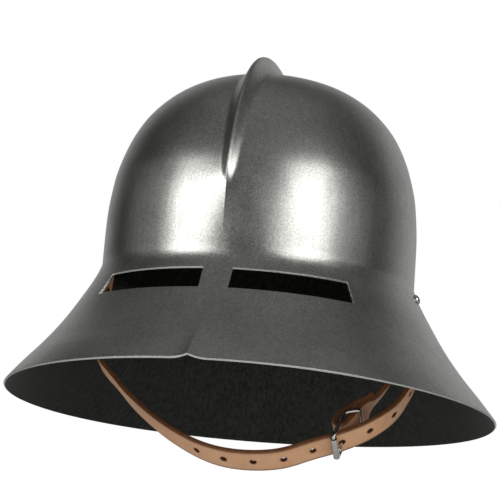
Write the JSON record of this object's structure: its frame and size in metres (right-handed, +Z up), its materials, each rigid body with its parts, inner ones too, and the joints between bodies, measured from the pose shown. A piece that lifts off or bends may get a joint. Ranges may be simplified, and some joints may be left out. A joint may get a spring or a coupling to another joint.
{
  "type": "kettle hat",
  "caption": "Steel war hat with a ridged pointed crown, wide sloping brim with eye slots, and a buckled leather chin strap.",
  "frame": {"origin": "middle of the head opening at the waist, where the crown meets the brim", "axes": "+Z up along the crown, the front of the hat faces -Y, the wearer's left side is at +X"},
  "size_m": [0.3498, 0.4329, 0.3094],
  "materials": {
    "hat_steel": "satin polished, fine grain",
    "rivet_steel": "polished dome",
    "strap_leather": "natural tan with dark edges",
    "buckle_metal": "bright nickel"
  },
  "bodies": {
    "root": {"helmet_shell": "hat_steel", "rivet_left": "rivet_steel", "rivet_right": "rivet_steel", "chin_strap": "strap_leather", "buckle_strap": "strap_leather", "buckle_frame": "buckle_metal", "buckle_roller": "buckle_metal", "buckle_prong": "buckle_metal"}
  },
  "joints": []
}
